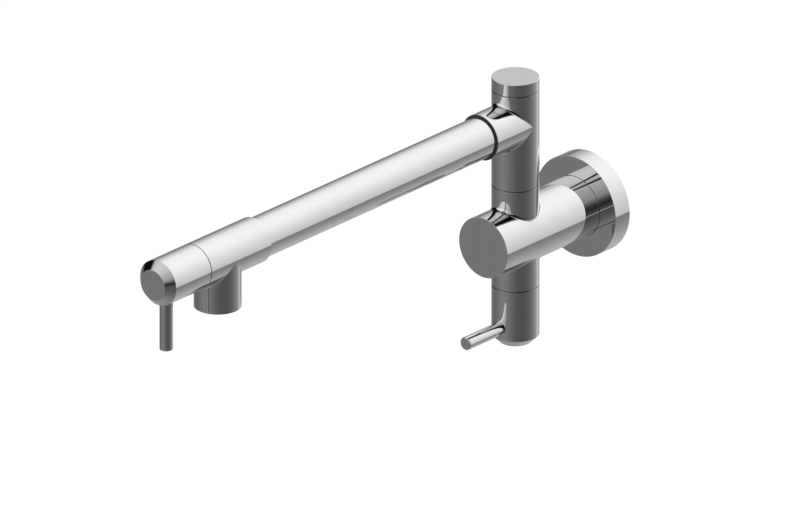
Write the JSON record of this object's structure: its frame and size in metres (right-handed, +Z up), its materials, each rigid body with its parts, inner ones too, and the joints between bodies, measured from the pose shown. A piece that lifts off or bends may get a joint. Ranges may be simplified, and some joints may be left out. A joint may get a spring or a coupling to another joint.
{
  "type": "wall-mounted pot filler tap",
  "caption": "Wall-mounted pot filler tap in polished chrome: round flange, cross-shaped valve body, swinging arm, downward spout, and pin levers on its supply and outlet valves.",
  "frame": {"origin": "the point where the barrel's axis meets the wall plane, at the centre of the inlet thread's root", "axes": "+Y into the wall along the barrel's axis, +Z up along the post, and the arm points along -Y at rest"},
  "size_m": [0.0662, 0.431, 0.1788],
  "materials": {
    "polished_chrome": "mirror-polished chrome plate",
    "machined_brass": "machined",
    "stainless_steel": "plain",
    "black_rubber": "matte",
    "white_ceramic": "lapped",
    "white_polymer": "moulded",
    "black_polymer": "moulded"
  },
  "bodies": {
    "wall_mount": {"wall_flange": "polished_chrome", "flange_gasket": "black_rubber", "flange_grip_ring": "black_rubber", "inlet_nipple": "machined_brass", "inlet_washer": "black_rubber", "valve_body": "polished_chrome", "swivel_spigot": "machined_brass", "spigot_base_washer": "black_rubber", "swivel_seal_rings": "black_rubber", "swivel_wear_rings": "white_polymer", "thrust_washer": "black_polymer", "retaining_washer": "stainless_steel", "retaining_screw": "stainless_steel", "supply_valve_housing": "machined_brass", "supply_thread_ring": "black_rubber", "supply_seat_seal": "black_rubber", "supply_fixed_disc": "white_ceramic"},
    "arm": {"arm_tee": "polished_chrome", "top_cap": "polished_chrome", "top_cap_ring": "black_rubber", "arm_tube": "polished_chrome", "tube_seal_rings": "black_rubber", "outlet_body": "polished_chrome", "aerator_ring": "machined_brass", "aerator_insert": "white_polymer", "aerator_washer": "black_rubber", "outlet_valve_housing": "machined_brass", "outlet_thread_ring": "black_rubber", "outlet_seat_seal": "black_rubber", "outlet_fixed_disc": "white_ceramic"},
    "supply_control": {"supply_handle": "polished_chrome", "supply_lever": "polished_chrome", "supply_grub_screw": "stainless_steel", "supply_valve_stem": "machined_brass", "supply_moving_disc": "white_ceramic", "supply_glide_ring": "white_polymer", "supply_stem_rings": "black_rubber", "supply_stem_clip": "stainless_steel"},
    "outlet_control": {"outlet_handle": "polished_chrome", "outlet_lever": "polished_chrome", "outlet_grub_screw": "stainless_steel", "outlet_valve_stem": "machined_brass", "outlet_moving_disc": "white_ceramic", "outlet_glide_ring": "white_polymer", "outlet_stem_rings": "black_rubber", "outlet_stem_clip": "stainless_steel"}
  },
  "joints": [
    {"name": "arm_swing", "type": "hinge", "parent": "wall_mount", "child": "arm", "pos_m": [0, -0.0703, 0.0757], "axis": [0, 0, 1], "range_deg": [-90, 90]},
    {"name": "supply_turn", "type": "hinge", "parent": "wall_mount", "child": "supply_control", "pos_m": [0, -0.0703, -0.0335], "axis": [0, 0, 1], "range_deg": [0, 90]},
    {"name": "outlet_turn", "type": "hinge", "parent": "arm", "child": "outlet_control", "pos_m": [0, -0.37415, 0.0757], "axis": [0, -1, 0], "range_deg": [0, 90]}
  ]
}
